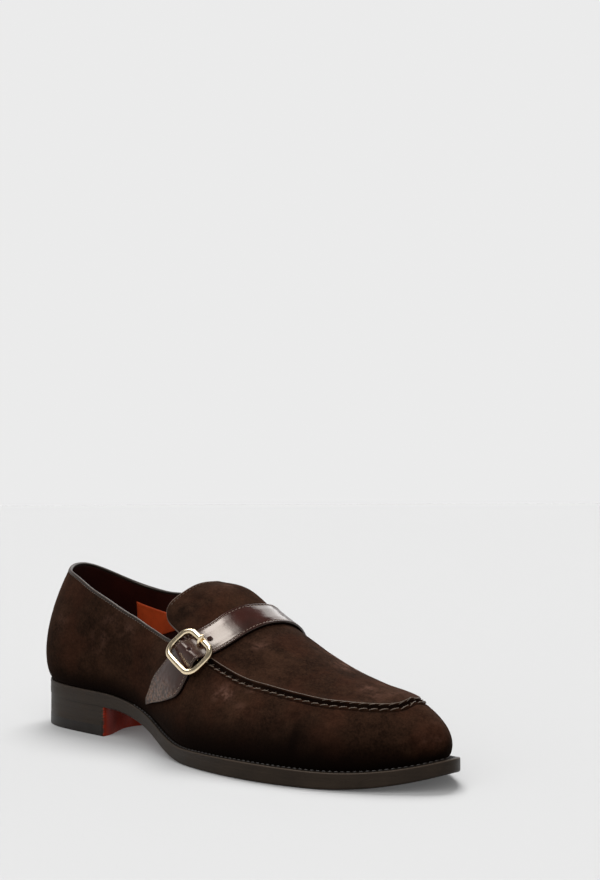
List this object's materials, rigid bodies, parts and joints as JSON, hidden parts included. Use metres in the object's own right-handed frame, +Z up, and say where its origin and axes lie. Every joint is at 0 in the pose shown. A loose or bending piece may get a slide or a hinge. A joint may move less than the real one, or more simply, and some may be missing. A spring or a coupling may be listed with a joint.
{
  "type": "loafer",
  "caption": "Right-foot suede loafer with a hand-sewn apron, a polished leather strap with a buckle over the instep, a welted leather sole and a low stacked heel.",
  "frame": {"origin": "on the floor, under the middle of the shoe's bounding box", "axes": "+X towards the toe, +Y towards the inner side of the foot, -Y towards the outer side, +Z up"},
  "size_m": [0.3084, 0.1052, 0.0968],
  "materials": {
    "suede": "brushed suede, dark brown, matt, with a mottled nap",
    "strap_leather": "polished dark brown leather",
    "welt_leather": "dark brown waxed leather",
    "sole_leather": "dark waxed edge, orange-red painted waist",
    "heel_leather": "stacked leather, dark and polished",
    "heel_rubber": "dark moulded rubber",
    "lining_leather": "smooth brick-red lining leather",
    "buckle_metal": "polished pale gold plate"
  },
  "bodies": {
    "root": {"outsole": "sole_leather", "welt": "welt_leather", "heel_stack": "heel_leather", "heel_top_piece": "heel_rubber", "insole": "lining_leather", "upper": "suede", "apron_tongue": "suede", "strap": "strap_leather", "buckle_frame": "buckle_metal", "buckle_prong": "buckle_metal"}
  },
  "joints": []
}
